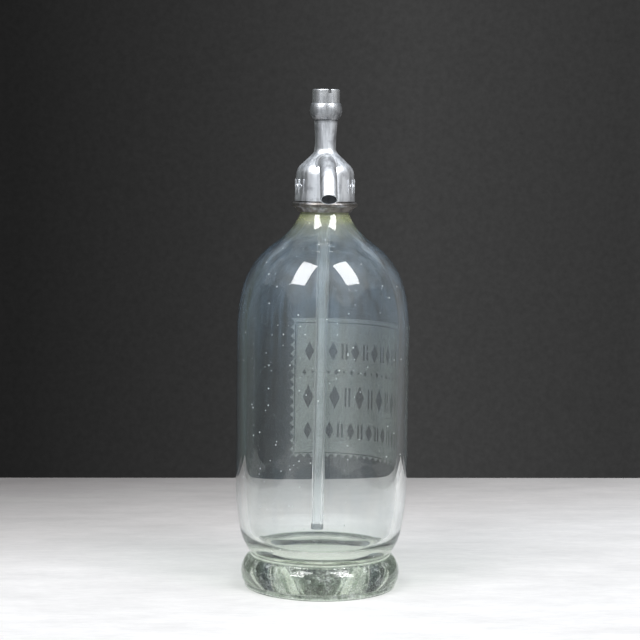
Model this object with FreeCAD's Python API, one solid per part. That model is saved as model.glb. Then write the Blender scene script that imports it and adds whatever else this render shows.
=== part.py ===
"""Soda siphon: a thick glass bottle on a moulded foot, and a cast metal head with a lever valve.

Millimetres, +Z up. The origin is the centre of the foot on the table. The spout points to -Y and
the lever to +Y. Gas above the water drives it up the glass dip tube. Pressing the lever lifts the
valve stem off its seat, so that the water leaves through the spout, and the spring in the neck of
the head closes the valve again.
"""

import os

import FreeCAD
import Part
from math import acos, atan2, cos, degrees, radians, sin, sqrt, tan

V = FreeCAD.Vector
UP = V(0, 0, 1)
SIDE = V(1, 0, 0)
ORIGIN = V(0, 0, 0)

# Clearances
running = 0.05          # radial play of a sliding or turning fit
thread_play = 0.1       # radial play between two screwed pieces
loose = 0.3             # play where pieces only have to pass each other
lift_play = 0.15        # idle gap between the lever's fork and the stem nut

# Bottle body
body_radius = 51.0
wall = 5.8              # thickness of the blown wall
shoulder_soft_radius = 110.0
shoulder_soft_turn = 13.3
shoulder_radius = 46.2
shoulder_slope = 56.4   # steepest lean of the shoulder from upright, degrees
heel_z = 64.0           # where the straight side starts
heel_soft_radius = 160.0
heel_soft_turn = 10.5
heel_radius = 34.0
heel_slope = 38.0
floor_z = 24.0          # inner floor

# Bottle foot
foot_radius = 47.3      # widest part of the moulded ring
foot_widest_z = 8.2
foot_band_radius = 45.3 # narrow band below the ring
foot_band_height = 3.3
foot_ledge = 1.0        # how far the ring stands out over the band
foot_edge = 0.9         # rounding where the band meets the table
groove_height = 1.6     # groove between the foot and the body
kick_radius = 37.0      # hollow under the foot
kick_height = 8.0

# Bottle neck and lip
neck_radius = 11.35     # narrowest part, under the lip
neck_taper = 4.7        # how far the neck still leans there, degrees
neck_bore = 8.7
lip_radius = 13.4
lip_height = 6.5
lip_z = 240.5           # top of the lip
lip_round = 1.2

# Dip tube
tube_radius = 3.75
tube_bore = 2.2
tube_flange_radius = 11.0
tube_flange_height = 2.2
tube_clear_of_floor = 10.0
tube_lean = 0.55        # old tubes hang a little askew, degrees

# Rubber washers
gasket_radius = 12.9
lip_gasket_height = 1.5
tube_washer_height = 1.4
tube_washer_bore = 2.6

# Collar ring and the split ring inside it
collar_bore = 14.3
collar_base_radius = 15.6
collar_depth = 17.6     # how far the ring reaches below the top of the lip
bead_radius = 19.45
bead_height = 3.0
bead_rise = 2.8         # from the ring's lower edge to the bead
collar_cone_radius = 17.6
sleeve_wall = 1.0
sleeve_height = 6.8     # threaded sleeve above the bead
split_ring_height = 4.7
split_ring_bore = 12.4
split_gap = 0.8         # sawn gap between the two halves

# Head casting
bell_gap = 0.6          # shadow gap between the bell and the bead
bell_radius = 17.7      # at its lower edge
bell_top_radius = 17.0
bell_wall_height = 15.6
dome_radius = 8.0
dome_turn = 44.0        # turn from the bell's wall to the cone over it, degrees
stalk_fillet = 5.0      # hollow where the cone meets the stalk
stalk_radius = 6.1      # the slim upright of the head, at its foot
stalk_top_radius = 6.95
stalk_flare_radius = 110.0
crown_groove_depth = 0.35
crown_groove_height = 0.5
crown_lower_radius = 7.15
crown_radius = 9.3
crown_height = 9.9
crown_rim = 3.2         # from its widest part to its top
crown_round = 1.5
crown_over_pivot = 5.4
chamber_radius = 5.4    # round the valve disc
chamber_height = 5.4
chamber_cone = 3.0
barrel_radius = 4.2     # bore that guides the piston
lever_room_radius = 6.2

# Spout
spout_radius = 4.9
spout_bore = 4.35
spout_over_seat = 2.9
spout_reach = 46.0      # from the bottle's axis to the centre of the mouth
spout_drop = 20.5
spout_slope = 55.0      # the mouth points this far below level, degrees
spout_tip_length = 8.0
spout_root = 9.0        # the tube starts this far from the axis
spout_lip = 0.12        # how far the rolled lip stands proud
spout_lip_length = 1.4
boss_radius = 5.9
boss_reach = 14.6
boss_fillet = 1.2

# Valve seat
seat_radius = 6.0
seat_height = 3.0
nozzle_radius = 3.4
nozzle_height = 1.0
seat_bore = 2.2

# Valve stem and what it carries
stem_radius = 1.6
stem_end = 0.65         # how far it stands out of its nut
disc_radius = 3.6
disc_height = 2.0
disc_cup_radius = 4.2
disc_cup_height = 2.8
disc_cup_depth = 1.0
stop_radius = 2.4
stop_height = 1.0
washer_radius = 4.0
washer_height = 0.8
barrel_entry = 6.2      # from the barrel's lower end to the packing
packing_height = 2.8
nut_radius = 3.2
nut_height = 1.5

# Spring and its guide bush
bush_height = 3.1
bush_sunk = 0.4         # how far it lies below the floor of the lever room
spring_room = 7.7
spring_wire = 0.9
spring_wire_sides = 8
spring_mean_radius = 3.0
spring_turns = 4.0

# Lever
lever_travel = 22.0     # degrees
pivot_y = 5.6
pivot_rise = 3.2        # above the floor of the lever room
pin_radius = 1.1
hub_radius = 2.4
lever_slot = 7.2        # slot in the back of the crown
hub_width = 6.8
fork_gap = 3.7
fork_height = 1.8
fork_nose = 0.9
fork_step = 0.25        # the fork's arms lie this much below the top of its rounded nose
lever_rise = 8.0        # degrees above level where it leaves the hub
lever_straight = 8.5
lever_bend_radius = 13.0
lever_bend = 84.0
lever_grip_radius = 52.0
lever_grip_bend = 34.0
lever_thick = 3.2
lever_width = 6.4       # where it leaves the crown
lever_pad_width = 13.5
lever_pad_from = 0.84   # share of the length where the thumb pad starts to close
lever_end_share = 0.35
lever_stations = (0.0, 0.1, 0.2, 0.3, 0.4, 0.5, 0.65, 0.8, 0.88, 0.94, 0.98, 1.0)

# Cap
cap_radius = 8.0
cap_height = 7.9
cap_gap = 0.1
cap_round = 0.7
cap_plug_radius = 6.1
cap_plug_height = 2.0
cap_room_radius = 5.2
cap_room_height = 1.9
coin_slot_width = 1.9
coin_slot_depth = 2.3
coin_slot_turn = 13.0   # degrees off the line of the spout

# Heights that follow from the stack of pieces on the lip
lip_under_z = lip_z - lip_height
ledge_z = lip_under_z - split_ring_height           # seat of the split ring in the collar
collar_base_z = lip_z - collar_depth
bead_z = collar_base_z + bead_rise
bell_z = bead_z + bead_height + bell_gap
sleeve_radius = collar_bore + 2 * sleeve_wall
sleeve_top_z = bead_z + bead_height + sleeve_height
tube_flange_z = lip_z + lip_gasket_height
tube_washer_z = tube_flange_z + tube_flange_height
clamp_z = tube_washer_z + tube_washer_height        # face of the head that clamps the stack

# Heights inside the head, from the valve seat up
seat_top_z = clamp_z + seat_height
spout_z = seat_top_z + spout_over_seat
disc_z = seat_top_z + nozzle_height
disc_cup_z = disc_z + disc_height - disc_cup_depth
chamber_top_z = seat_top_z + chamber_height
barrel_from_z = chamber_top_z + chamber_cone
packing_z = barrel_from_z + barrel_entry
washer_z = packing_z - washer_height
spring_z = packing_z + packing_height + washer_height
bush_z = spring_z + spring_room
lever_room_z = bush_z + bush_height + bush_sunk
pivot_z = lever_room_z + pivot_rise
nut_z = pivot_z + fork_nose + lift_play
stem_top_z = nut_z + nut_height + stem_end
crown_top_z = pivot_z + crown_over_pivot
crown_widest_z = crown_top_z - crown_rim
stalk_top_z = crown_top_z - crown_height
cap_z = crown_top_z + cap_gap


class Outline:
    """A closed outline in the plane of radius and height, drawn edge by edge."""

    def __init__(self, r, z, heading=90.0):
        self.start = self.at = V(r, 0, z)
        self.heading = heading
        self.edges = []

    def line(self, r, z):
        end = V(r, 0, z)
        self.heading = degrees(atan2(end.z - self.at.z, end.x - self.at.x))
        self.edges.append(Part.LineSegment(self.at, end).toShape())
        self.at = end
        return self

    def turn(self, radius, angle):
        """A tangent arc that turns the heading by angle degrees, left when positive."""
        side = 1 if angle > 0 else -1
        centre = self.at + self.across(self.heading, side * radius)
        middle = centre - self.across(self.heading + angle / 2, side * radius)
        end = centre - self.across(self.heading + angle, side * radius)
        self.edges.append(Part.Arc(self.at, middle, end).toShape())
        self.at = end
        self.heading += angle
        return self

    def arc(self, through, end):
        """An arc through one point to another, each given as radius and height."""
        middle, last = V(through[0], 0, through[1]), V(end[0], 0, end[1])
        self.edges.append(Part.Arc(self.at, middle, last).toShape())
        self.at = last
        return self

    @staticmethod
    def across(heading, length):
        """The vector of that length, square to the heading on its left."""
        a = radians(heading)
        return V(-sin(a), 0, cos(a)) * length

    def face(self):
        if self.at.distanceToPoint(self.start) > 1e-6:
            self.line(self.start.x, self.start.z)
        return Part.Face(Part.Wire(Part.__sortEdges__(self.edges)))

    def turned(self):
        """The solid of revolution about the bottle's axis."""
        return self.face().revolve(ORIGIN, UP, 360)


def cylinder(radius, z0, z1, x=0.0, y=0.0):
    return Part.makeCylinder(radius, z1 - z0, V(x, y, z0))


def ring(outer, inner, z0, z1):
    return cylinder(outer, z0, z1).cut(cylinder(inner, z0 - 1, z1 + 1))


def cone(r0, r1, z0, z1):
    return Part.makeCone(r0, r1, z1 - z0, V(0, 0, z0))


def box(x0, x1, y0, y1, z0, z1):
    return Part.makeBox(x1 - x0, y1 - y0, z1 - z0, V(x0, y0, z0))


def fillet_where(shape, radius, wanted):
    """Rounds the edges that wanted picks, by their bounding box."""
    edges = [e for e in shape.Edges if wanted(e.BoundBox)]
    return shape.makeFillet(radius, edges)


def shoulder_from(z, offset, neck, taper):
    """Outline that runs up from the straight side at height z, over the shoulder, to the neck.

    It lies offset inside the glass's outer face, and ends at the radius neck, leaning by taper.
    """
    o = Outline(body_radius - offset, z)
    o.turn(shoulder_soft_radius - offset, shoulder_soft_turn)
    o.turn(shoulder_radius - offset, shoulder_slope - shoulder_soft_turn)
    flare = (o.at.x - neck) / (cos(radians(taper)) - cos(radians(shoulder_slope)))
    return o.turn(flare, taper - shoulder_slope)


def bottle():
    """Blown glass with a moulded foot: outer outline up, inner outline down."""
    outer = Outline(foot_band_radius - foot_edge, 0, 0)
    outer.turn(foot_edge, 90)
    outer.line(foot_band_radius, foot_band_height)
    outer.line(foot_band_radius + foot_ledge, foot_band_height + foot_ledge / 4)

    # The heel is drawn from the straight side down, to learn where it meets the foot.
    heel = Outline(body_radius, heel_z, -90)
    heel.turn(heel_soft_radius, -heel_soft_turn)
    heel.turn(heel_radius, heel_soft_turn - heel_slope)
    waist = heel.at
    outer.arc((foot_radius, foot_widest_z), (waist.x + groove_height / 4, waist.z - groove_height))
    outer.line(waist.x, waist.z)
    outer.edges += heel.edges

    # The shoulder is drawn from height 0 first, to learn how much room it takes below the lip.
    shoulder_z = lip_under_z - shoulder_from(0, 0, neck_radius, neck_taper).at.z
    outer.at = V(body_radius, 0, heel_z)
    outer.line(body_radius, shoulder_z)
    outer.edges += shoulder_from(shoulder_z, 0, neck_radius, neck_taper).edges
    outer.at = V(neck_radius, 0, lip_under_z)
    outer.line(lip_radius - lip_round, lip_under_z)
    outer.turn(lip_round, 90)
    outer.line(lip_radius, lip_z - lip_round)
    outer.turn(lip_round, 90)

    inner = shoulder_from(shoulder_z, wall, neck_bore, 0)
    outer.line(neck_bore, lip_z)
    outer.line(inner.at.x, inner.at.z)
    outer.edges += inner.edges
    outer.at = V(body_radius - wall, 0, shoulder_z)
    outer.line(body_radius - wall, heel_z)
    outer.turn(heel_soft_radius - wall, -heel_soft_turn)
    corner = (outer.at.z - floor_z) / (1 - sin(radians(heel_soft_turn)))
    outer.turn(corner, heel_soft_turn - 90)
    outer.line(0, floor_z)
    outer.line(0, kick_height)
    middle = kick_radius * 0.55
    # The hollow under the foot is part of a sphere.
    sphere = (kick_radius ** 2 + kick_height ** 2) / (2 * kick_height)
    middle_z = sqrt(sphere ** 2 - middle ** 2) - (sphere - kick_height)
    outer.arc((middle, middle_z), (kick_radius, 0))
    return outer.turned()


def dip_tube():
    """Glass tube with a ground flange that lies on the lip gasket."""
    top = V(0, 0, tube_washer_z)
    lean = radians(tube_lean)
    down = V(-sin(lean), 0, -cos(lean))
    length = tube_washer_z - floor_z - tube_clear_of_floor
    flange = cylinder(tube_flange_radius, tube_flange_z, tube_washer_z)
    sunk = tube_flange_height / 2
    shank = Part.makeCylinder(tube_radius, length - sunk, top + down * sunk, down)
    bore = Part.makeCylinder(tube_bore, length + 2, top - down, down)
    return flange.fuse(shank).cut(bore)


def lip_gasket():
    return ring(gasket_radius, tube_radius + loose, lip_z, tube_flange_z)


def tube_washer():
    return ring(gasket_radius, tube_washer_bore, tube_washer_z, clamp_z)


def collar_ring():
    """The ring seen under the bell: it draws the head down on the lip by the split ring."""
    o = Outline(collar_bore, collar_base_z)
    o.line(collar_base_radius, collar_base_z)
    o.line(collar_cone_radius, bead_z)
    o.line(bead_radius - bead_height / 2, bead_z)
    o.heading = 0
    o.turn(bead_height / 2, 180)
    o.line(sleeve_radius, bead_z + bead_height)
    o.line(sleeve_radius, sleeve_top_z)
    o.line(collar_bore + sleeve_wall, sleeve_top_z)
    o.line(collar_bore + sleeve_wall, ledge_z)
    o.line(collar_bore, ledge_z)
    return o.turned()


def split_ring(side):
    """One half of the ring that hooks under the lip. side is -1 for the left half, 1 for the right."""
    top = ledge_z + split_ring_height
    outer = collar_bore + sleeve_wall - thread_play
    whole = ring(outer, split_ring_bore, ledge_z, top)
    near, far = sorted((side * split_gap / 2, side * 2 * outer))
    return whole.common(box(near, far, -2 * outer, 2 * outer, ledge_z - 1, top + 1))


def head_outline():
    """The bell, dome, stalk and crown as one outline, solid to the axis."""
    o = Outline(0, bell_z)
    o.line(bell_radius, bell_z)
    o.line(bell_top_radius, bell_z + bell_wall_height)
    o.turn(dome_radius, dome_turn)
    lean = o.heading - 90
    cone_end = stalk_radius + stalk_fillet * (1 - cos(radians(lean)))
    o.line(cone_end, o.at.z + (o.at.x - cone_end) / tan(radians(lean)))
    o.turn(stalk_fillet, -lean)
    groove_z = stalk_top_z - crown_groove_height
    flare_turn = degrees(acos(1 - (stalk_top_radius - stalk_radius) / stalk_flare_radius))
    o.line(stalk_radius, groove_z - stalk_flare_radius * sin(radians(flare_turn)))
    o.turn(stalk_flare_radius, -flare_turn)
    o.line(stalk_top_radius - crown_groove_depth, groove_z)
    o.line(stalk_top_radius - crown_groove_depth, stalk_top_z)
    o.line(crown_lower_radius, stalk_top_z)
    o.line(crown_radius, crown_widest_z)
    o.heading = 90
    o.turn(crown_round, 60)
    o.line(cap_radius + loose, crown_top_z)
    o.line(0, crown_top_z)
    return o


def along_spout(radius):
    """A rod along the spout's centre line: level, then an arc down, then the straight tip."""
    slope = radians(spout_slope)
    bend_radius = (spout_drop - spout_tip_length * sin(slope)) / (1 - cos(slope))
    bend_reach = spout_reach - spout_tip_length * cos(slope) - bend_radius * sin(slope)
    forward, out = V(0, -1, 0), V(0, -cos(slope), -sin(slope))
    root = V(0, -spout_root, spout_z)
    hinge = V(0, -bend_reach, spout_z - bend_radius)
    bend_end = hinge + V(0, -sin(slope), cos(slope)) * bend_radius
    section = Part.Face(Part.Wire(Part.makeCircle(radius, V(0, -bend_reach, spout_z), forward)))
    level = Part.makeCylinder(radius, bend_reach - spout_root, root, forward)
    bend = section.revolve(hinge, SIDE, spout_slope)
    tip = Part.makeCylinder(radius, spout_tip_length, bend_end, out)
    return level.fuse([bend, tip]).removeSplitter()


def head_body():
    """Cast bell and stalk with the boss of the spout, bored from both ends."""
    shape = head_outline().turned()
    boss = Part.makeCylinder(boss_radius, boss_reach, V(0, 0, spout_z), V(0, -1, 0))
    shape = shape.fuse(boss).removeSplitter()

    def joins_boss(b):
        ahead = b.YMin > -boss_reach - running and b.YMax < -stalk_radius
        return ahead and b.YLength > running and b.ZMax > spout_z - boss_radius / 2
    shape = fillet_where(shape, boss_fillet, joins_boss)

    thread_top = sleeve_top_z + thread_play
    cuts = [
        cylinder(sleeve_radius + thread_play, bell_z - 1, thread_top),
        cylinder(gasket_radius + loose * 2, bell_z, clamp_z),
        cylinder(seat_radius, clamp_z, seat_top_z),
        cylinder(chamber_radius, seat_top_z, chamber_top_z),
        cone(chamber_radius, barrel_radius, chamber_top_z, barrel_from_z),
        cylinder(barrel_radius, barrel_from_z, lever_room_z),
        cylinder(lever_room_radius, lever_room_z, crown_top_z + 1),
        Part.makeCylinder(spout_bore, spout_root, V(0, 0, spout_z), V(0, -1, 0)),
        along_spout(spout_radius + running),
        box(-lever_slot / 2, lever_slot / 2, pivot_y - hub_radius - loose, 2 * crown_radius,
            lever_room_z, crown_top_z + 1),
        pin_cylinder(pin_radius),
    ]
    return shape.cut(cuts)


def pin_cylinder(radius, length=4 * crown_radius):
    return Part.makeCylinder(radius, length, V(-length / 2, pivot_y, pivot_z), SIDE)


def spout():
    """A bent tube with a small rolled lip, soldered into the boss of the head."""
    slope = radians(spout_slope)
    out = V(0, -cos(slope), -sin(slope))
    mouth = V(0, -spout_reach, spout_z - spout_drop)
    lip = Part.makeCylinder(spout_radius + spout_lip, spout_lip_length, mouth - out * spout_lip_length, out)
    lip = lip.makeFillet(spout_lip, lip.Edges)
    return along_spout(spout_radius).fuse(lip).cut(along_spout(spout_bore)).removeSplitter()


def valve_seat():
    """Screwed bush with the raised nozzle that the rubber disc closes."""
    bush = cylinder(seat_radius - running, clamp_z, seat_top_z)
    nozzle = cone(nozzle_radius, nozzle_radius - nozzle_height / 2, seat_top_z, disc_z)
    return bush.fuse(nozzle).cut(cylinder(seat_bore, clamp_z - 1, disc_z + 1))


def valve_disc():
    return cylinder(disc_radius - running, disc_z, disc_z + disc_height)


def valve_stem():
    """Rod with the cup for the rubber disc below and a stop for the piston washers."""
    cup = cylinder(disc_cup_radius, disc_cup_z, disc_cup_z + disc_cup_height)
    cup = cup.cut(cylinder(disc_radius, disc_cup_z - 1, disc_cup_z + disc_cup_depth))
    cup = fillet_where(cup, stem_radius / 2, lambda b: b.ZMin > disc_cup_z + disc_cup_height - running
                       and b.XLength > 2 * disc_radius)
    rod = cylinder(stem_radius, disc_cup_z + disc_cup_depth, stem_top_z)
    stop = cylinder(stop_radius, washer_z - stop_height, washer_z)
    return cup.fuse([rod, stop]).removeSplitter()


def piston_washer(z):
    return ring(washer_radius, stem_radius + running, z, z + washer_height)


def piston_packing():
    return ring(barrel_radius - running, stem_radius + running, packing_z, packing_z + packing_height)


def valve_spring():
    """Coil between the upper piston washer and the guide bush, with ground ends.

    The wire's section has flat sides, which keeps the swept faces simple.
    """
    room = bush_z - spring_z
    pitch = (room + spring_wire / 2) / spring_turns
    helix = Part.makeHelix(pitch, pitch * spring_turns, spring_mean_radius)
    helix.translate(V(0, 0, spring_z - spring_wire / 4))
    begin = V(spring_mean_radius, 0, spring_z - spring_wire / 4)
    around = [radians(360 * k / spring_wire_sides) for k in range(spring_wire_sides + 1)]
    section = Part.makePolygon([begin + V(cos(a), 0, sin(a)) * (spring_wire / 2) for a in around])
    coil = Part.Wire(helix.Edges).makePipeShell([section], True, True)
    reach = spring_mean_radius + spring_wire
    return coil.common(box(-reach, reach, -reach, reach, spring_z, bush_z))


def spring_bush():
    """Screwed into the barrel above the spring: it carries the spring and guides the stem."""
    bush = ring(barrel_radius - running, stem_radius + running, bush_z, bush_z + bush_height)
    notch = box(-barrel_radius, barrel_radius, -spring_wire / 2, spring_wire / 2,
                bush_z + bush_height - spring_wire, bush_z + bush_height + 1)
    return bush.cut(notch)


def stem_nut():
    """Round nut on the stem: the lever's fork lifts it."""
    nut = ring(nut_radius, stem_radius, nut_z, nut_z + nut_height)
    return fillet_where(nut, nut_height / 4, lambda b: b.ZMin > nut_z + nut_height / 2
                        and b.XLength > 2 * stem_radius + running)


def lever_station(share):
    """A point of the lever's centre line and its heading, at a share of its length from the pin.

    Seen from the side, the line rises out of the crown, bends down over it and hollows to the end.
    """
    bend = lever_bend_radius * radians(lever_bend)
    grip = lever_grip_radius * radians(lever_grip_bend)
    run = share * (lever_straight + bend + grip)
    o = Outline(pivot_y, pivot_z, lever_rise)
    rise = radians(lever_rise)
    first = min(run, lever_straight)
    o.at = o.at + V(cos(rise), 0, sin(rise)) * first
    if run > lever_straight:
        o.turn(lever_bend_radius, -degrees(min(run - lever_straight, bend) / lever_bend_radius))
    if run > lever_straight + bend:
        o.turn(lever_grip_radius, degrees((run - lever_straight - bend) / lever_grip_radius))
    return V(0, o.at.x, o.at.z), radians(o.heading)


def lever_blade():
    """Oval sections along the centre line, wider towards the thumb and closing at the end."""
    sections = []
    for share in lever_stations:
        at, heading = lever_station(share)
        width = lever_width + (lever_pad_width - lever_width) * share ** 2
        closing = max(0.0, (share - lever_pad_from) / (1 - lever_pad_from))
        width *= sqrt(1 - (1 - lever_end_share ** 2) * closing ** 2)
        thick = lever_thick * (1 - closing ** 2 * (1 - lever_end_share))
        square = V(0, -sin(heading), cos(heading))
        oval = Part.Ellipse(at + SIDE * (width / 2), at + square * (thick / 2), at)
        sections.append(Part.Wire(oval.toShape()))
    return Part.makeLoft(sections, True)


def lever():
    """Cast lever: forked nose under the stem nut, hub on the pin, and a curved thumb grip."""
    narrow = hub_width / 2
    hub = pin_cylinder(hub_radius, hub_width)
    nose = Part.makeCylinder(fork_nose, hub_width, V(-narrow, 0, pivot_z), SIDE)
    arm_top = pivot_z + fork_nose - fork_step
    arm = box(-narrow, narrow, 0, pivot_y, arm_top - fork_height, arm_top)
    gap = box(-fork_gap / 2, fork_gap / 2, -fork_nose - 1, pivot_y - hub_radius,
              pivot_z - hub_radius, pivot_z + hub_radius)
    shape = hub.fuse([arm, nose]).cut(gap).fuse(lever_blade())
    return shape.cut(pin_cylinder(pin_radius + running)).removeSplitter()


def lever_pin():
    """Pin across the crown: the lever turns on it. Its ends are filed to the crown."""
    at_pin = crown_lower_radius + (crown_radius - crown_lower_radius) * (
        (pivot_z - stalk_top_z) / (crown_widest_z - stalk_top_z))
    length = 2 * sqrt(at_pin ** 2 - pivot_y ** 2)
    return pin_cylinder(pin_radius - running / 5, length)


def top_cap():
    """Screw cap over the lever room, with a coin slot across its top."""
    top = cap_z + cap_height
    cap = cylinder(cap_radius, cap_z, top)
    cap = fillet_where(cap, cap_round, lambda b: b.ZMin > top - running)
    plug = cylinder(cap_plug_radius, crown_top_z - cap_plug_height, cap_z)
    room = cylinder(cap_room_radius, crown_top_z - cap_plug_height - 1, crown_top_z + cap_room_height)
    slot = box(-coin_slot_width / 2, coin_slot_width / 2, -2 * cap_radius, 2 * cap_radius,
               top - coin_slot_depth, top + 1)
    slot.rotate(ORIGIN, UP, coin_slot_turn)
    return cap.fuse(plug).cut([room, slot]).removeSplitter()


def parts():
    """Every piece by the name of its node."""
    return {
        "bottle": bottle(),
        "dip_tube": dip_tube(),
        "lip_gasket": lip_gasket(),
        "tube_washer": tube_washer(),
        "collar_ring": collar_ring(),
        "split_ring_left": split_ring(-1),
        "split_ring_right": split_ring(1),
        "head_body": head_body(),
        "spout": spout(),
        "valve_seat": valve_seat(),
        "valve_disc": valve_disc(),
        "valve_stem": valve_stem(),
        "piston_washer_lower": piston_washer(washer_z),
        "piston_packing": piston_packing(),
        "piston_washer_upper": piston_washer(packing_z + packing_height),
        "valve_spring": valve_spring(),
        "spring_bush": spring_bush(),
        "stem_nut": stem_nut(),
        "lever": lever(),
        "lever_pin": lever_pin(),
        "top_cap": top_cap(),
    }


def main():
    os.makedirs("parts", exist_ok=True)
    for name, shape in parts().items():
        solids = shape.Solids
        shape = solids[0] if len(solids) == 1 else shape
        print(f"{name}: {len(solids)} solid, valid {shape.isValid()}, {shape.Volume / 1000:.3f} cm3")
        shape.exportStep(f"parts/{name}.step")


main()
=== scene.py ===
"""Soda siphon: old clear glass, worn pewter head, an etched panel on the back of the bottle.

Metres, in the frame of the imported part: +Z up, the spout towards -Y, the lever towards +Y.
"""
from math import asin, atan2, cos, degrees, pi, radians, sin, sqrt

import bmesh
import bpy
from mathutils import Matrix, Vector


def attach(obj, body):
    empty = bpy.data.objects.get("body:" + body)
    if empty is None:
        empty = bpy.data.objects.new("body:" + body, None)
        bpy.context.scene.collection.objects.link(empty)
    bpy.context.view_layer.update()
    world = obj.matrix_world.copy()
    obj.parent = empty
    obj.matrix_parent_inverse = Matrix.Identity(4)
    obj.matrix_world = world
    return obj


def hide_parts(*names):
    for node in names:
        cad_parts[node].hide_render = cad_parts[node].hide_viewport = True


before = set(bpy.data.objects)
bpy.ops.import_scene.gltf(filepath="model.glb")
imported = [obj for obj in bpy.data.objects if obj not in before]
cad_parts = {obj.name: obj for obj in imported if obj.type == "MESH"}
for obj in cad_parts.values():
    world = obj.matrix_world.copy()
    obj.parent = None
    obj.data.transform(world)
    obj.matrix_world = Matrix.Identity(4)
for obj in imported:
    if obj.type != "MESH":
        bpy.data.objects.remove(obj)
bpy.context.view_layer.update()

scene = bpy.context.scene
MM = 0.001

# Bottle, as the part has it; an arc is its radius and its turn in degrees
body_radius = 51.0 * MM
wall = 5.8 * MM
shoulder_soft = (110.0 * MM, 13.3)
shoulder_hard = (46.2 * MM, 43.1)
shoulder_slope = shoulder_soft[1] + shoulder_hard[1]
neck_taper = 4.7            # degrees
neck_radius = 11.35 * MM
neck_bore = 8.7 * MM
heel_z = 64.0 * MM
heel_soft = (160.0 * MM, 10.5)
heel_hard = (34.0 * MM, 27.5)
floor_z = 24.0 * MM
lip_radius = 13.4 * MM
lip_height = 6.5 * MM
lip_z = 240.5 * MM
lip_round = 1.2 * MM
foot_radius = 47.3 * MM
foot_widest_z = 8.2 * MM
foot_band_radius = 45.3 * MM
foot_band_height = 3.3 * MM
foot_ledge = 1.0 * MM
foot_edge = 0.9 * MM
groove_height = 1.6 * MM
kick_radius = 37.0 * MM
kick_height = 8.0 * MM

# Glass, with the layers under its skin
glass_ior = 1.5
film_depth = 0.15 * MM
residue_depth = 0.35 * MM
residue_low, residue_high = 205.5 * MM, 230.0 * MM
seeds_depth = 0.9 * MM

# Steps round the shapes of revolution
bottle_steps, layer_steps, tube_steps = 192, 128, 64

# Dip tube
tube_radius = 3.75 * MM
tube_bore = 2.2 * MM
tube_lean = 0.55            # degrees, with the lower end towards -X
tube_top = 244.2 * MM
tube_flange_z = 242.0 * MM
tube_flange_radius = 11.0 * MM
tube_end = 34.0 * MM

# Etched panel on the back, in angles from +Y towards +X and heights
panel_from, panel_to = -22.5, 98.0
panel_low, panel_high = 69.0 * MM, 156.0 * MM
panel_off = 0.06 * MM
panel_strips = 60
tooth_pitch, tooth_depth = 5.4 * MM, 2.9 * MM
frame_inset, frame_line, frame_gap = 3.6 * MM, 0.7 * MM, 0.4 * MM
row_margin = 4.0 * MM
double_bar = 1.4 * MM       # width of each bar and its distance from the middle of the two
dot = 1.5 * MM
# Each row's height, size, pitch, and whether it is the one of dots
panel_rows = (
    (135.5 * MM, 12.0 * MM, 8.0 * MM, False),
    (122.5 * MM, 6.0 * MM, 5.4 * MM, True),
    (107.0 * MM, 15.0 * MM, 9.0 * MM, False),
    (86.0 * MM, 11.0 * MM, 7.4 * MM, False),
)

# Raised ornament on the sides of the bell
bell_z = 229.3 * MM
bell_radius = 17.7 * MM
bell_taper = 0.7 / 15.6
relief_z = 238.0 * MM
relief_height = 8.0 * MM
relief_bar = 1.3 * MM
relief_lozenge = 2.0 * MM
relief_proud = 0.35 * MM
relief_count = 10
relief_from, relief_step = 50.0, 8.0    # degrees from the spout

# Soft bulge of the crown, in radius and height; it sinks in towards the back, where the lever's pin is
crown_low = (7.2 * MM, 276.75 * MM)
crown_wide = (9.36 * MM, 283.2 * MM)
crown_high = (8.5 * MM, 286.55 * MM)
crown_core = 6.6 * MM
crown_open = 60.0           # degrees left open on each side of the back
crown_fade = 35.0           # degrees in which it sinks
crown_sink = 0.09           # share of its radius

# Camera, from the ellipses of the photograph, in metres and degrees
camera_back = 1.05
camera_height = 0.25
camera_aside = -1.9 * MM
camera_pitch = 4.96
camera_roll = -0.75
camera_turn = 2.9           # the spout points this far to the right of the camera
lens, sensor = 100.0, 36.0

# Stage
floor_half = 0.362
floor_turn = 4.1            # keeps its back edge level in the slightly tilted picture
floor_shade_slant = -0.35         # painted shade: the table's colour darkens towards the back and the left
lamp_azimuths = (-41.0, 48.0)
lamp_elevation = 52.0
lamp_distance = 1.35
lamp_aim = 0.15             # height that the lamps point at
softbox = (0.46, 0.8)
shine_power = 20.0          # what polished faces mirror
light_power = 12.8          # what lights the matt ones


class Profile:
    """A line in radius and height, of straight runs and tangent arcs, kept as points."""

    step = radians(2.5)

    def __init__(self, r, z, heading):
        self.points = [(r, z)]
        self.heading = radians(heading)

    @property
    def at(self):
        return self.points[-1]

    def to(self, r, z, parts):
        """A straight run to a place, in equal parts."""
        r0, z0 = self.at
        self.heading = atan2(z - z0, r - r0)
        self.points += [(r0 + (r - r0) * i / parts, z0 + (z - z0) * i / parts)
                        for i in range(1, parts + 1)]

    def turn(self, radius, angle):
        """An arc that goes on from the heading, to the left for a positive angle in degrees."""
        angle = radians(angle)
        side = 1 if angle > 0 else -1
        r0, z0 = self.at
        cr, cz = r0 - side * radius * sin(self.heading), z0 + side * radius * cos(self.heading)
        count = max(2, int(abs(angle) / self.step + 1))
        for i in range(1, count + 1):
            h = self.heading + angle * i / count
            self.points.append((cr + side * radius * sin(h), cz - side * radius * cos(h)))
        self.heading += angle


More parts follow.
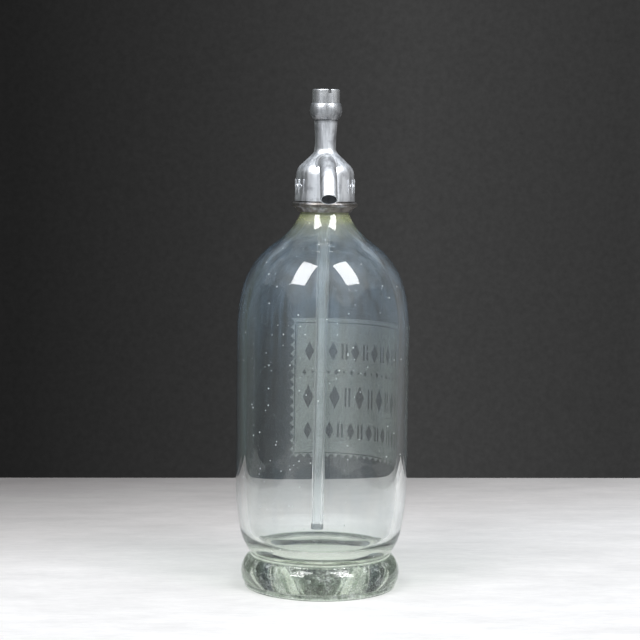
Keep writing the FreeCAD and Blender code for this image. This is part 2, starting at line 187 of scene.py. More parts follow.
def circle_through(a, b, c, count):
    """Points on the arc from a through b to c, without a."""
    ax, ay, bx, by, cx, cy = *a, *b, *c
    d = 2 * (ax * (by - cy) + bx * (cy - ay) + cx * (ay - by))
    sa, sb, sc = ax * ax + ay * ay, bx * bx + by * by, cx * cx + cy * cy
    ox = (sa * (by - cy) + sb * (cy - ay) + sc * (ay - by)) / d
    oy = (sa * (cx - bx) + sb * (ax - cx) + sc * (bx - ax)) / d
    radius = sqrt((ax - ox) ** 2 + (ay - oy) ** 2)
    start, end = atan2(ay - oy, ax - ox), atan2(cy - oy, cx - ox)
    return [(ox + radius * cos(start + (end - start) * i / count),
             oy + radius * sin(start + (end - start) * i / count)) for i in range(1, count + 1)]


def spun(points, steps, solid=True):
    """A shape of revolution from points in radius and height; one that isn't solid stays open."""
    bm = bmesh.new()
    verts = [bm.verts.new((r, 0, z)) for r, z in points]
    edges = [bm.edges.new(pair) for pair in zip(verts, verts[1:])]
    if solid and points[0][0] > 0:
        edges.append(bm.edges.new((verts[-1], verts[0])))
    bmesh.ops.spin(bm, geom=verts + edges, cent=(0, 0, 0), axis=(0, 0, 1), angle=2 * pi,
                   steps=steps, use_merge=True, use_duplicate=False)
    bmesh.ops.remove_doubles(bm, verts=bm.verts, dist=1e-7)
    if solid:
        bmesh.ops.recalc_face_normals(bm, faces=bm.faces)
    return bm


def new_object(name, bm, mat, body="siphon"):
    """Makes a piece from a bmesh, gives it its finish and lets it ride on a body."""
    for face in bm.faces:
        face.smooth = True
    mesh = bpy.data.meshes.new(name)
    bm.to_mesh(mesh)
    bm.free()
    obj = bpy.data.objects.new(name, mesh)
    scene.collection.objects.link(obj)
    mesh.materials.append(mat)
    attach(obj, body)
    return obj


# Node trees

class Graph:
    """A node tree, with a method for each kind of pattern that the finishes are made of."""

    def __init__(self, tree):
        self.nodes, self.links = tree.nodes, tree.links

    def coords(self, scale=(1, 1, 1), offset=(0, 0, 0)):
        """Object coordinates, stretched and moved."""
        where = self.nodes.new("ShaderNodeTexCoord")
        mapping = self.nodes.new("ShaderNodeMapping")
        mapping.inputs["Scale"].default_value = scale
        mapping.inputs["Location"].default_value = offset
        self.links.new(where.outputs["Object"], mapping.inputs["Vector"])
        return mapping.outputs["Vector"]

    def noise(self, vector, scale, detail, roughness=0.55):
        tex = self.nodes.new("ShaderNodeTexNoise")
        tex.inputs["Scale"].default_value = scale
        tex.inputs["Detail"].default_value = detail
        tex.inputs["Roughness"].default_value = roughness
        self.links.new(vector, tex.inputs["Vector"])
        return tex.outputs["Fac"]

    def ramp(self, factor, *stops):
        """A colour ramp; each stop is a place and a grey or a colour."""
        node = self.nodes.new("ShaderNodeValToRGB")
        elements = node.color_ramp.elements
        while len(elements) < len(stops):
            elements.new(0.5)
        for element, (place, value) in zip(elements, stops):
            grey = isinstance(value, (int, float))
            element.position = place
            element.color = (value, value, value, 1) if grey else (*value, 1)
        self.links.new(factor, node.inputs["Fac"])
        return node.outputs["Color"]

    def blend(self, mode, a, b):
        """Two colours, blended in full."""
        node = self.nodes.new("ShaderNodeMix")
        node.data_type, node.blend_type = "RGBA", mode
        node.inputs["Factor"].default_value = 1.0
        self.links.new(a, node.inputs["A"])
        self.links.new(b, node.inputs["B"])
        return node.outputs["Result"]

    def axis(self, vector, name):
        """One number of a vector."""
        split = self.nodes.new("ShaderNodeSeparateXYZ")
        self.links.new(vector, split.inputs[0])
        return split.outputs[name]

    def span(self, value, low, high):
        """The value as a share of the way from low to high."""
        node = self.nodes.new("ShaderNodeMapRange")
        node.inputs["From Min"].default_value = low
        node.inputs["From Max"].default_value = high
        self.links.new(value, node.inputs["Value"])
        return node.outputs["Result"]

    def height(self, low, high):
        """Height in the object, as a share of the way from low to high."""
        return self.span(self.axis(self.coords(), "Z"), low, high)

    def bump(self, height, strength, distance, normal=None):
        node = self.nodes.new("ShaderNodeBump")
        node.inputs["Strength"].default_value = strength
        node.inputs["Distance"].default_value = distance
        self.links.new(height, node.inputs["Height"])
        if normal is not None:
            self.links.new(normal, node.inputs["Normal"])
        return node.outputs["Normal"]

    def specks(self, vector, scale, size, rarity, strength):
        """Round specks in some cells of a loose grid, with size as a share of a cell."""
        cells = self.nodes.new("ShaderNodeTexVoronoi")
        cells.inputs["Scale"].default_value = scale
        self.links.new(vector, cells.inputs["Vector"])
        chance = self.nodes.new("ShaderNodeSeparateColor")
        self.links.new(cells.outputs["Color"], chance.inputs[0])
        return self.blend("MULTIPLY",
                          self.ramp(cells.outputs["Distance"], (size * 0.55, strength), (size, 0.0)),
                          self.ramp(chance.outputs["Red"], (rarity, 0.0), (rarity + 0.02, 1.0)))


def material(name):
    """A new material, its graph and its Principled shader."""
    mat = bpy.data.materials.new(name)
    mat.use_nodes = True
    return mat, Graph(mat.node_tree), mat.node_tree.nodes["Principled BSDF"]


def lamp_light_passes(g):
    """Lets lamp light through glass to what is behind it, as thin clear glass does."""
    mix = g.nodes.new("ShaderNodeMixShader")
    path = g.nodes.new("ShaderNodeLightPath")
    clear = g.nodes.new("ShaderNodeBsdfTransparent")
    clear.inputs["Color"].default_value = (0.93, 0.95, 0.94, 1)
    g.links.new(path.outputs["Is Shadow Ray"], mix.inputs[0])
    g.links.new(g.nodes["Principled BSDF"].outputs[0], mix.inputs[1])
    g.links.new(clear.outputs[0], mix.inputs[2])
    g.links.new(mix.outputs[0], g.nodes["Material Output"].inputs["Surface"])


# Materials

def bottle_glass():
    """Thick old glass: clear in the wall, green through the foot, with slow waves and fine wear."""
    mat, g, shader = material("bottle_glass")
    shader.inputs["Base Color"].default_value = (0.97, 0.985, 0.975, 1)
    shader.inputs["Transmission Weight"].default_value = 1.0
    shader.inputs["IOR"].default_value = glass_ior
    upright = g.coords((1, 1, 0.12))
    wear = g.ramp(g.noise(upright, 900, 3), (0.62, 0.0), (0.8, 0.012))
    g.links.new(wear, shader.inputs["Roughness"])
    waves = g.bump(g.noise(g.coords(), 28, 2), 0.06, 0.0006)
    fine = g.bump(g.noise(upright, 420, 3), 0.01, 0.0002, waves)
    g.links.new(fine, shader.inputs["Normal"])
    absorb = g.nodes.new("ShaderNodeVolumeAbsorption")
    absorb.inputs["Color"].default_value = (0.80, 0.89, 0.68, 1)
    absorb.inputs["Density"].default_value = 5.5
    g.links.new(absorb.outputs[0], g.nodes["Material Output"].inputs["Volume"])
    lamp_light_passes(g)
    return mat


def tube_glass():
    """Drawn glass, slightly milky, with lines along it."""
    mat, g, shader = material("tube_glass")
    shader.inputs["Base Color"].default_value = (0.95, 0.965, 0.975, 1)
    shader.inputs["Transmission Weight"].default_value = 0.94
    shader.inputs["IOR"].default_value = glass_ior
    upright = g.coords((1, 1, 0.1))
    rough = g.ramp(g.noise(upright, 700, 3), (0.4, 0.03), (0.8, 0.16))
    g.links.new(rough, shader.inputs["Roughness"])
    g.links.new(g.bump(g.noise(upright, 300, 2), 0.2, 0.0002), shader.inputs["Normal"])
    lamp_light_passes(g)
    return mat


def mineral_film_and_glare():
    """The dried film and specks that hard water leaves on the inside; its bluish veil, thickest on the
    shoulder, is also a painted reflection of the softboxes' glare.
    """
    mat, g, shader = material("mineral_film_and_glare")
    shader.inputs["Roughness"].default_value = 0.7
    at = g.coords()
    streaks = g.ramp(g.noise(g.coords((1, 1, 0.07)), 210, 5, 0.6), (0.36, 0.3), (0.64, 1.9))
    # The veil by height is film, and on the shoulder it is also a painted reflection of the softboxes'
    # glare
    veil = g.ramp(g.height(floor_z, lip_z), (0.0, 0.006), (0.1, 0.03), (0.17, 0.02), (0.24, 0.01),
                  (0.5, 0.016), (0.66, 0.05), (0.88, 0.045), (0.95, 0.0))
    veil = g.blend("MULTIPLY", veil, streaks)
    dots = g.blend("ADD", g.specks(at, 260, 0.13, 0.72, 1.0), g.specks(at, 760, 0.17, 0.62, 0.35))
    # The blue of the veil is a painted reflection; the specks are white
    g.links.new(g.ramp(dots, (0.0, (0.42, 0.61, 0.85)), (0.5, (0.95, 0.96, 0.97))),
                shader.inputs["Base Color"])
    g.links.new(g.blend("ADD", veil, dots), shader.inputs["Alpha"])
    return mat


def neck_residue():
    """The yellow stain left in the neck under the collar."""
    mat, g, shader = material("neck_residue")
    shader.inputs["Roughness"].default_value = 0.6
    patch = g.noise(g.coords(), 120, 5)
    g.links.new(g.ramp(patch, (0.3, (0.5, 0.54, 0.2)), (0.7, (0.9, 0.88, 0.6))),
                shader.inputs["Base Color"])
    fade = g.ramp(g.height(residue_low, residue_high), (0.0, 0.0), (0.4, 0.1), (0.58, 0.5), (1.0, 0.72))
    g.links.new(g.blend("MULTIPLY", fade, g.ramp(patch, (0.3, 0.7), (0.7, 1.1))), shader.inputs["Alpha"])
    return mat


def foot_seeds():
    """Bubbles and green cloud in the pressed glass of the foot."""
    mat, g, shader = material("foot_seeds")
    shader.inputs["Roughness"].default_value = 0.5
    at = g.coords()
    cloud = g.noise(at, 130, 7, 0.7)
    g.links.new(g.ramp(cloud, (0.36, (0.11, 0.15, 0.12)), (0.5, (0.46, 0.52, 0.44)),
                       (0.62, (0.92, 0.95, 0.93))), shader.inputs["Base Color"])
    low = g.ramp(g.height(0.0, foot_widest_z), (0.0, 0.5), (0.36, 0.3), (0.42, 0.0), (0.6, 0.02),
                 (1.0, 0.03))
    veil = g.ramp(g.noise(at, 620, 6, 0.8), (0.43, 0.0), (0.6, 0.44))
    veil = g.blend("ADD", low, veil)
    g.links.new(g.blend("ADD", veil, g.specks(at, 420, 0.14, 0.5, 0.7)), shader.inputs["Alpha"])
    return mat


def etched_frost():
    """Acid-etched glass: a fine matt white that still lets some of the back show."""
    mat, g, shader = material("etched_frost")
    shader.inputs["Roughness"].default_value = 0.8
    at = g.coords()
    grain = g.noise(at, 1500, 3)
    g.links.new(g.ramp(g.noise(at, 60, 4), (0.3, (0.55, 0.57, 0.56)), (0.7, (0.68, 0.7, 0.69))),
                shader.inputs["Base Color"])
    g.links.new(g.ramp(grain, (0.3, 0.26), (0.7, 0.4)), shader.inputs["Alpha"])
    g.links.new(g.bump(grain, 0.3, 0.0001), shader.inputs["Normal"])
    return mat


def pewter(name, tone=(0.88, 0.9, 0.93), tarnish=(0.5, 0.51, 0.54), dull=0.0, seed=0.0, painted_shade_by_height=None):
    """Bright tin alloy: soft dents, fine scratches both ways, tarnish in patches, and painted shade that
    darkens it by height.
    """
    mat, g, shader = material(name)
    shader.inputs["Metallic"].default_value = 1.0
    at = g.coords(offset=(seed, seed * 0.7, seed * 1.3))
    upright = g.coords((1, 1, 0.06))
    level = g.coords((0.3, 0.3, 4.0))
    shade = g.ramp(g.noise(at, 170, 6, 0.6), (0.5 - dull, tone), (0.72 - dull, tarnish))
    streaks = g.ramp(g.noise(upright, 300, 4, 0.6), (0.36, 0.6), (0.54, 1.0))
    shade = g.blend("MULTIPLY", shade, streaks)
    # painted shade: the colour darkens by height, deepest in the crease under the crown's bulge
    if painted_shade_by_height:
        shade = g.blend("MULTIPLY", shade, g.ramp(g.height(bell_z, crown_high[1]), *painted_shade_by_height))
    g.links.new(shade, shader.inputs["Base Color"])
    rub = g.ramp(g.noise(upright, 900, 4), (0.3, 0.37 + dull), (0.75, 0.52 + dull))
    g.links.new(rub, shader.inputs["Roughness"])
    dents = g.bump(g.noise(at, 90, 2), 0.24, 0.0014)
    scratch = g.bump(g.noise(upright, 1600, 3), 0.03, 0.0003, dents)
    cross = g.bump(g.noise(level, 500, 3), 0.02, 0.0003, scratch)
    g.links.new(cross, shader.inputs["Normal"])
    return mat


def plain(name, colour, rough, metallic=0.0):
    """Rubber, brass or steel of the hidden pieces, with a fine grain."""
    mat, g, shader = material(name)
    shader.inputs["Metallic"].default_value = metallic
    grain = g.noise(g.coords(), 600, 4)
    dark = tuple(c * 0.7 for c in colour)
    g.links.new(g.ramp(grain, (0.3, dark), (0.7, colour)), shader.inputs["Base Color"])
    g.links.new(g.ramp(grain, (0.3, rough * 0.8), (0.7, rough * 1.2)), shader.inputs["Roughness"])
    g.links.new(g.bump(grain, 0.2, 0.0002), shader.inputs["Normal"])
    return mat


def pale_floor():
    """The pale table, streaked, with painted shade that darkens its colour towards the back and the left.
    """
    mat, g, shader = material("pale_floor")
    shader.inputs["Roughness"].default_value = 0.6
    at = g.coords((1, 3, 1))
    broad = g.ramp(g.noise(at, 14, 8, 0.72), (0.3, 0.84), (0.7, 1.04))
    fine = g.ramp(g.noise(at, 120, 6, 0.7), (0.3, 0.95), (0.7, 1.04))
    streaks = g.blend("MULTIPLY", broad, fine)
    # painted shade: the colour darkens towards the back and the left, where less light falls
    shade_slant = g.nodes.new("ShaderNodeMath")
    shade_slant.operation = "MULTIPLY_ADD"
    shade_slant.inputs[1].default_value = floor_shade_slant
    g.links.new(g.axis(g.coords(), "X"), shade_slant.inputs[0])
    g.links.new(g.axis(g.coords(), "Y"), shade_slant.inputs[2])
    shade = g.ramp(g.span(shade_slant.outputs[0], -0.1, 0.45),
                   (0.0, (0.8, 0.783, 0.772)), (0.35, (0.77, 0.748, 0.735)), (0.56, (0.58, 0.552, 0.536)),
                   (0.68, (0.46, 0.436, 0.422)), (0.95, (0.22, 0.203, 0.195)))
    g.links.new(g.blend("MULTIPLY", shade, streaks), shader.inputs["Base Color"])
    return mat


# Bottle

def shoulder_end():
    """Radius where the shoulder's two arcs end and the flare of the neck begins."""
    soft, slope = radians(shoulder_soft[1]), radians(shoulder_slope)
    r = body_radius - shoulder_soft[0] * (1 - cos(soft))
    return r - shoulder_hard[0] * (cos(soft) - cos(slope))


def flare_radius():
    """Radius of the arc that flares from the shoulder into the neck."""
    return (shoulder_end() - neck_radius) / (cos(radians(neck_taper)) - cos(radians(shoulder_slope)))


def shoulder_z():
    """Height where the straight side ends and the shoulder begins."""
    soft, slope = radians(shoulder_soft[1]), radians(shoulder_slope)
    rise = shoulder_soft[0] * sin(soft) + shoulder_hard[0] * (sin(slope) - sin(soft))
    rise += flare_radius() * (sin(slope) - sin(radians(neck_taper)))
    return lip_z - lip_height - rise


def outer_neck(z):
    """Outer radius of the neck at a height, on the flare under the lip."""
    taper = radians(neck_taper)
    lean = asin(sin(taper) + (lip_z - lip_height - z) / flare_radius())
    return neck_radius + flare_radius() * (cos(taper) - cos(lean))


def outer_heel():
    """The heel's outer line, from the straight side down to the waist above the foot."""
    heel = Profile(body_radius, heel_z, -90)
    heel.turn(heel_soft[0], -heel_soft[1])
    heel.turn(heel_hard[0], -heel_hard[1])
    return heel


def inner_shoulder(inset):
    """The inner wall's line, from the straight side up to the bore of the neck."""
    p = Profile(body_radius - inset, shoulder_z(), 90)
    p.turn(shoulder_soft[0] - inset, shoulder_soft[1])
    p.turn(shoulder_hard[0] - inset, shoulder_hard[1])
    bore = neck_bore + (wall - inset)
    p.turn((p.at[0] - bore) / (1 - cos(radians(shoulder_slope))), -shoulder_slope)
    return p


def inner_heel(p, inset):
    """Goes on from the straight side down the inner wall to where the inner floor is flat."""
    low = floor_z + inset - wall
    p.to(body_radius - inset, heel_z, 30)
    p.turn(heel_soft[0] - inset, -heel_soft[1])
    corner = (p.at[1] - low) / (1 - sin(radians(heel_soft[1])))
    p.turn(corner, heel_soft[1] - 90)


def bottle_outline():
    """The bottle's whole outline, from the middle of the hollow foot round to the inner floor."""
    p = Profile(0, kick_height, 0)
    sphere = (kick_radius ** 2 + kick_height ** 2) / (2 * kick_height)
    p.turn(sphere, -degrees(asin(kick_radius / sphere)))
    p.to(foot_band_radius - foot_edge, 0, 3)
    p.turn(foot_edge, 90)
    p.to(foot_band_radius, foot_band_height, 3)
    p.to(foot_band_radius + foot_ledge, foot_band_height + foot_ledge / 4, 2)

    heel = outer_heel()
    waist_r, waist_z = heel.at
    groove = (waist_r + groove_height / 4, waist_z - groove_height)
    p.points += circle_through(p.at, (foot_radius, foot_widest_z), groove, 28)
    p.points += heel.points[::-1]
    p.to(body_radius, shoulder_z(), 40)
    p.turn(*shoulder_soft)
    p.turn(*shoulder_hard)
    p.turn(flare_radius(), neck_taper - shoulder_slope)
    p.to(lip_radius - lip_round, lip_z - lip_height, 2)
    p.heading = 0
    p.turn(lip_round, 90)
    p.to(lip_radius, lip_z - lip_round, 2)
    p.turn(lip_round, 90)
    p.to(neck_bore, lip_z, 2)

    inner = inner_shoulder(wall)
    p.to(*inner.at, 4)
    p.points += inner.points[-2::-1]
    inner_heel(p, wall)
    p.to(0, floor_z, 10)
    return p.points


def make_bottle():
    bottle = new_object("glass_bottle", spun(bottle_outline(), bottle_steps), bottle_glass())
    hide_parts("bottle")


def make_film():
    """A film in the skin of the inner wall, open at the neck like the wall that it lies on."""
    inset = wall - film_depth
    p = inner_shoulder(inset)
    p.points.reverse()
    inner_heel(p, inset)
    new_object("mineral_film_and_glare", spun(p.points, layer_steps, solid=False), mineral_film_and_glare())


def make_residue():
    """A stain under the skin of the neck, from the collar down to where the shoulder widens."""
    count = 30
    heights = [residue_low + (residue_high - residue_low) * i / count for i in range(count + 1)]
    line = [(outer_neck(z) - residue_depth, z) for z in heights]
    new_object("neck_residue", spun(line, layer_steps, solid=False), neck_residue())


def make_seeds():
    """A clouded layer under the skin of the foot's ring."""
    waist_r, waist_z = outer_heel().at
    edge = (foot_band_radius - seeds_depth, foot_edge)
    low = (foot_band_radius - seeds_depth, foot_band_height)
    widest, top = (foot_radius - seeds_depth, foot_widest_z), (waist_r - seeds_depth, waist_z)
    arc = circle_through(low, widest, top, 24)
    new_object("foot_seeds", spun([edge, low] + arc, layer_steps, solid=False), foot_seeds())


def make_tube():
    """The dip tube, which leans a little and hangs by a level flange."""
    p = Profile(tube_bore, tube_end, 0)
    p.to(tube_radius, tube_end, 2)
    p.to(tube_radius, tube_flange_z, 60)
    p.to(tube_flange_radius, tube_flange_z, 4)
    p.to(tube_flange_radius, tube_top, 2)
    p.to(tube_bore, tube_top, 4)
    p.to(tube_bore, tube_end + 0.01 * MM, 60)       # just short of its start, as spun closes it
    bm = spun(p.points, tube_steps)
    lean = Matrix.Rotation(radians(tube_lean), 4, "Y")
    top = Vector((0, 0, tube_top))
    for v in bm.verts:
        if v.co.z < tube_flange_z:
            v.co = top + lean @ (v.co - top)
    tube = new_object("glass_dip_tube", bm, tube_glass())
    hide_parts("dip_tube")


# Etched panel

def lozenge(x, z, w, h):
    """Corners of a loop in the flat panel, as for the next two."""
    return [(x - w / 2, z), (x, z + h / 2), (x + w / 2, z), (x, z - h / 2)]


def bar(x, z, w, h):
    return [(x - w / 2, z - h / 2), (x - w / 2, z + h / 2), (x + w / 2, z + h / 2), (x + w / 2, z - h / 2)]


def disc(x, z, size, count=20):
    return [(x + size / 2 * cos(-2 * pi * i / count), z + size / 2 * sin(-2 * pi * i / count))
            for i in range(count)]


def cut_side(x0, z0, x1, z1, pointed=False, steps=8):
    """One side of the panel, with scallops or pointed teeth cut into it on the left of its direction."""
    length = sqrt((x1 - x0) ** 2 + (z1 - z0) ** 2)
    count = round(length / tooth_pitch)
    in_x, in_z = (z0 - z1) / length, (x1 - x0) / length
    points = []
    for i in range(count):
        for k in range(steps):
            t = (i + k / steps) / count
            depth = tooth_depth * (1 - abs(2 * k / steps - 1) if pointed else sin(pi * k / steps))
            points.append((x0 + (x1 - x0) * t + in_x * depth, z0 + (z1 - z0) * t + in_z * depth))
    return points


def panel_outline(width, low, high):
    """Scalloped at the sides, with pointed teeth below, straight on top."""
    return (cut_side(0, high, 0, low) + cut_side(0, low, width, low, pointed=True)
            + cut_side(width, low, width, high) + [(width, high)])


def panel_holes(width, low, high):
    """Clear ornament in the frost: a frame line and rows of lozenges, bars and dots."""
    left, right = frame_inset, width - frame_inset
    bottom, top = low + frame_inset, high - frame_inset
    middle, upright = (bottom + top) / 2, top - bottom - 2 * frame_gap
    holes = [bar(left, middle, frame_line, upright),
             bar(right, middle, frame_line, upright),
             bar((left + right) / 2, bottom - frame_line, right - left, frame_line),
             bar((left + right) / 2, top + frame_line, right - left, frame_line)]
    room = right - left - 2 * row_margin
    for z, size, pitch, dotted in panel_rows:
        count = int(room / pitch)
        start = left + row_margin + (room - (count - 1) * pitch) / 2
        for i in range(count):
            x = start + i * pitch
            if dotted:
                holes.append(disc(x, z, dot) if i % 2 else lozenge(x, z, 2 * dot, size * 0.6))
            elif i % 2:
                holes += [bar(x + aside, z, double_bar, size * 0.8) for aside in (-double_bar, double_bar)]
            else:
                holes.append(lozenge(x, z, pitch * 0.8, size))
    return holes


def make_panel():
    """The frosted panel: a flat curve with holes, cut into strips and bent round the bottle."""
    around = body_radius + panel_off
    width = around * radians(panel_to - panel_from)
    flat = bpy.data.curves.new("panel", "CURVE")
    flat.dimensions, flat.fill_mode = "2D", "BOTH"
    for loop in [panel_outline(width, panel_low, panel_high)] + panel_holes(width, panel_low, panel_high):
        spline = flat.splines.new("POLY")
        spline.points.add(len(loop) - 1)
        for point, (x, z) in zip(spline.points, loop):
            point.co = (x, z, 0, 1)
        spline.use_cyclic_u = True
    carrier = bpy.data.objects.new("panel_flat", flat)
    scene.collection.objects.link(carrier)
    bpy.context.view_layer.update()
    bm = bmesh.new()
    bm.from_mesh(bpy.data.meshes.new_from_object(carrier))
    bpy.data.objects.remove(carrier)
    for i in range(1, panel_strips):
        geom = bm.verts[:] + bm.edges[:] + bm.faces[:]
        bmesh.ops.bisect_plane(bm, geom=geom, dist=1e-7, plane_co=(width * i / panel_strips, 0, 0),
                               plane_no=(1, 0, 0))
    for v in bm.verts:
        angle = radians(panel_from) + v.co.x / around
        v.co = Vector((around * sin(angle), around * cos(angle), v.co.y))
    bmesh.ops.remove_doubles(bm, verts=bm.verts, dist=1e-6)
    bmesh.ops.recalc_face_normals(bm, faces=bm.faces)
    new_object("etched_panel", bm, etched_frost())


# Head

def make_relief(cast):
    """Raised bars and lozenges in a row on each side of the bell, cast with it."""
    bm = bmesh.new()
    r = bell_radius - bell_taper * (relief_z - bell_z)
    thick = relief_proud * 2
    upright = Matrix.Diagonal((thick, relief_bar, relief_height, 1))
    square = Matrix.Rotation(pi / 4, 4, "X") @ Matrix.Diagonal((thick, relief_lozenge, relief_lozenge, 1))
    for side in (-1, 1):
        for i in range(relief_count):
            azimuth = side * radians(relief_from + relief_step * i) - pi / 2
            turn = Matrix.Rotation(azimuth, 4, "Z")
            place = Matrix.Translation((r * cos(azimuth), r * sin(azimuth), relief_z))
            bmesh.ops.create_cube(bm, size=1, matrix=place @ turn @ (square if i % 2 else upright))
    bmesh.ops.bevel(bm, geom=bm.edges[:], offset=relief_proud * 0.6, offset_type="OFFSET", segments=3,
                    profile=0.5, affect="EDGES", material=-1)
    new_object("bell_relief", bm, cast)


def make_crown(cast):
    """The crown's soft bulge, which sinks into the casting, gently at first and at last, before it
    reaches the lever's pin."""
    arc = circle_through(crown_low, crown_wide, crown_high, 16)
    section = [(crown_core, crown_low[1]), crown_low] + arc + [(crown_core, crown_high[1])]
    bm = bmesh.new()
    verts = [bm.verts.new((0, r, z)) for r, z in section]
    edges = [bm.edges.new(pair) for pair in zip(verts, verts[1:] + verts[:1])]
    bmesh.ops.rotate(bm, verts=verts, matrix=Matrix.Rotation(radians(crown_open), 3, "Z"))
    bmesh.ops.spin(bm, geom=verts + edges, cent=(0, 0, 0), axis=(0, 0, 1), use_merge=False,
                   angle=radians(360 - 2 * crown_open), steps=120, use_duplicate=False)
    bmesh.ops.holes_fill(bm, edges=bm.edges[:], sides=0)
    for v in bm.verts:
        from_back = degrees(abs(atan2(v.co.x, v.co.y)))
        share = min(1.0, max(0.0, (crown_open + crown_fade - from_back) / crown_fade))
        v.co.xy *= 1 - crown_sink * share * share * (3 - 2 * share)
    bmesh.ops.recalc_face_normals(bm, faces=bm.faces)
    new_object("crown_bulge", bm, cast)


def give_finish(mat, *nodes):
    """Gives a finish to CAD pieces that are seen as they are."""
    for node in nodes:
        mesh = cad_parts[node].data
        mesh.materials.clear()
        mesh.materials.append(mat)


# Stage

def make_floor():
    """The top of the table, as one flat face."""
    bm = bmesh.new()
    bmesh.ops.create_grid(bm, x_segments=1, y_segments=1, size=floor_half)
    mesh = bpy.data.meshes.new("floor")
    bm.to_mesh(mesh)
    bm.free()
    floor = bpy.data.objects.new("floor", mesh)
    floor.rotation_euler.z = radians(floor_turn - camera_turn)
    scene.collection.objects.link(floor)
    mesh.materials.append(pale_floor())


def direction(azimuth, elevation):
    """A unit vector, with the azimuth in degrees to the right of the camera's side."""
    a, e = radians(azimuth - camera_turn), radians(elevation)
    return Vector((sin(a) * cos(e), -cos(a) * cos(e), sin(e)))


def area_lamp(name, azimuth, power, glossy):
    """A softbox that is either mirrored by polished faces or lights matt ones."""
    data = bpy.data.lights.new(name, "AREA")
    data.shape, data.size, data.size_y = "RECTANGLE", *softbox
    data.energy = power
    if glossy:
        leave_out_matt(data)
    lamp = bpy.data.objects.new(name, data)
    towards = direction(azimuth, lamp_elevation)
    lamp.location = towards * lamp_distance + Vector((0, 0, lamp_aim))
    lamp.rotation_euler = (-towards).to_track_quat("-Z", "Y").to_euler()
    lamp.visible_glossy = glossy
    lamp.visible_diffuse = not glossy
    lamp.visible_transmission = False
    scene.collection.objects.link(lamp)


def leave_out_matt(lamp):
    """Keeps a lamp out of what matt faces gather, so that glass throws no glare on the floor."""
    lamp.use_nodes = True
    nodes, links = lamp.node_tree.nodes, lamp.node_tree.links
    path = nodes.new("ShaderNodeLightPath")
    first = nodes.new("ShaderNodeMath")
    first.operation = "LESS_THAN"
    first.inputs[1].default_value = 0.5
    links.new(path.outputs["Diffuse Depth"], first.inputs[0])
    links.new(first.outputs[0], nodes["Emission"].inputs["Strength"])


def make_lamps():
    """Two lamps in each softbox, one to be mirrored and one to light."""
    for side, azimuth in zip(("left", "right"), lamp_azimuths):
        area_lamp("shine_" + side, azimuth, shine_power, True)
        area_lamp("light_" + side, azimuth, light_power, False)


def lamp_glow(g, where, azimuth):
    """Light spilt on the room round a lamp, by the angle from the lamp's direction."""
    near = g.nodes.new("ShaderNodeVectorMath")
    near.operation = "DOT_PRODUCT"
    near.inputs[1].default_value = direction(azimuth, lamp_elevation)
    g.links.new(where, near.inputs[0])
    return g.ramp(near.outputs["Value"], (0.72, 0.0), (0.86, 0.22), (0.97, (0.8, 0.84, 0.9)))


def room_colour(g, where, across):
    """What the glass and metal mirror: walls, a dark place where the camera is, a dim ceiling."""
    walls = g.ramp(across, (0.0, 0.1), (0.2, (0.5, 0.54, 0.58)), (0.42, (0.58, 0.6, 0.62)),
                   (0.485, 0.03), (0.55, (0.5, 0.52, 0.54)), (0.72, (0.8, 0.84, 0.88)), (1.0, 0.4))
    ceiling = g.ramp(g.axis(where, "Z"), (0.1, (1.0, 1.0, 1.0)), (0.6, (0.35, 0.39, 0.43)))
    colour = g.blend("MULTIPLY", walls, ceiling)
    for azimuth in lamp_azimuths:
        colour = g.blend("ADD", colour, lamp_glow(g, where, azimuth))
    return colour


def backdrop_colour(g, where, across):
    """The dark painted wall behind, with painted light and shade that vary across it, and its faint grain;
    it is lighter beyond the picture's edges.
    """
    # painted light and shade: the wall's brightness varies across it, darkest left of the middle
    paint_and_light = g.ramp(across, (0.2, (0.07, 0.08, 0.075)), (0.36, 0.05), (0.42, 0.016), (0.44, 0.014),
                   (0.49, 0.029), (0.55, 0.05), (0.61, 0.036), (0.68, 0.08), (0.85, 0.14))
    return g.blend("MULTIPLY", paint_and_light, g.ramp(g.noise(where, 320, 4, 0.6), (0.25, 0.88), (0.75, 1.12)))


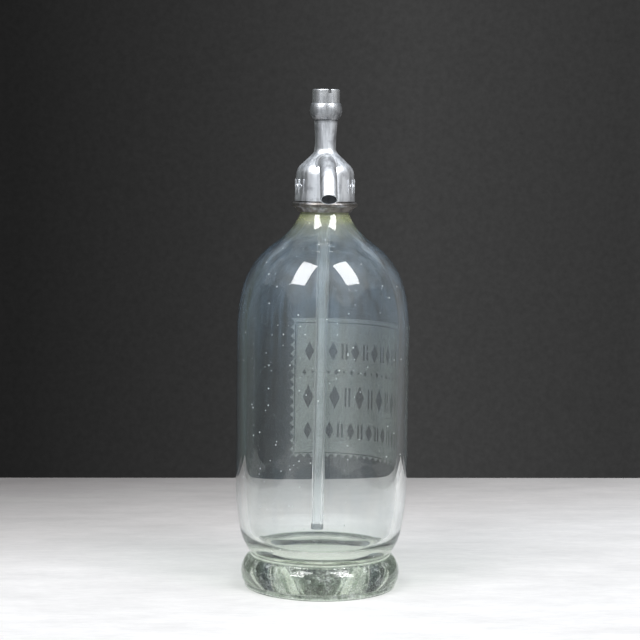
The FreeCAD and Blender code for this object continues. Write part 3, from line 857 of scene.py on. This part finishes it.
def make_world():
    """The backdrop in the directions behind the siphon, and the room in all others."""
    world = bpy.data.worlds.new("studio")
    scene.world = world
    world.use_nodes = True
    g = Graph(world.node_tree)
    g.nodes.clear()
    where = g.nodes.new("ShaderNodeTexCoord").outputs["Generated"]
    across = g.span(g.axis(where, "X"), -1.0, 1.0)
    room = g.nodes.new("ShaderNodeBackground")
    g.links.new(room_colour(g, where, across), room.inputs["Color"])
    backdrop = g.nodes.new("ShaderNodeBackground")
    g.links.new(backdrop_colour(g, where, across), backdrop.inputs["Color"])
    behind = g.ramp(g.axis(where, "Y"), (0.05, 0.0), (0.35, 1.0))
    low = g.ramp(g.axis(where, "Z"), (0.35, 1.0), (0.55, 0.0))
    mix = g.nodes.new("ShaderNodeMixShader")
    g.links.new(g.blend("MULTIPLY", behind, low), mix.inputs[0])
    g.links.new(room.outputs[0], mix.inputs[1])
    g.links.new(backdrop.outputs[0], mix.inputs[2])
    out = g.nodes.new("ShaderNodeOutputWorld")
    g.links.new(mix.outputs[0], out.inputs["Surface"])


def make_camera():
    """The camera in front of the spout, a little to its left."""
    data = bpy.data.cameras.new("camera")
    data.lens, data.sensor_width = lens, sensor
    cam = bpy.data.objects.new("camera", data)
    turn = Matrix.Rotation(radians(-camera_turn), 4, "Z")
    cam.location = turn @ Vector((camera_aside, -camera_back, camera_height))
    pitch = Matrix.Rotation(radians(90 - camera_pitch), 4, "X")
    roll = Matrix.Rotation(radians(-camera_roll), 4, "Z")
    cam.rotation_euler = (turn @ pitch @ roll).to_euler()
    scene.collection.objects.link(cam)
    scene.camera = cam


make_bottle()
make_film()
make_residue()
make_seeds()
make_tube()
make_panel()

# Painted shade by height on the head: darker at the foot of the bell and higher up, darkest where the
# crown's bulge begins, darker over the crown
cast = pewter("worn_pewter", painted_shade_by_height=((0.0, 0.85), (0.05, 1.0), (0.45, 1.0), (0.6, 0.85), (0.79, 0.85),
                                    (0.83, 0.32), (0.9, 0.6), (1.0, 0.55)))
make_relief(cast)
make_crown(cast)
give_finish(cast, "head_body")
give_finish(pewter("spout_pewter", tone=(0.66, 0.68, 0.7), dull=0.06, seed=0.4), "spout")
give_finish(pewter("cap_pewter", tone=(0.64, 0.65, 0.66), seed=0.9), "top_cap")
give_finish(pewter("lever_pewter", seed=1.7), "lever")
give_finish(pewter("collar_pewter", tone=(0.2, 0.185, 0.17), dull=-0.03, seed=2.3), "collar_ring")
give_finish(plain("drawn_steel", (0.55, 0.55, 0.56), 0.3, 1.0), "lever_pin", "valve_spring")
give_finish(plain("black_rubber", (0.03, 0.03, 0.03), 0.75),
            "lip_gasket", "tube_washer", "valve_disc", "piston_packing")
give_finish(plain("turned_brass", (0.62, 0.45, 0.2), 0.35, 1.0),
            "split_ring_left", "split_ring_right", "valve_seat", "valve_stem",
            "piston_washer_lower", "piston_washer_upper", "spring_bush", "stem_nut")

make_floor()
make_lamps()
make_world()
make_camera()
scene.view_settings.view_transform = "Standard"
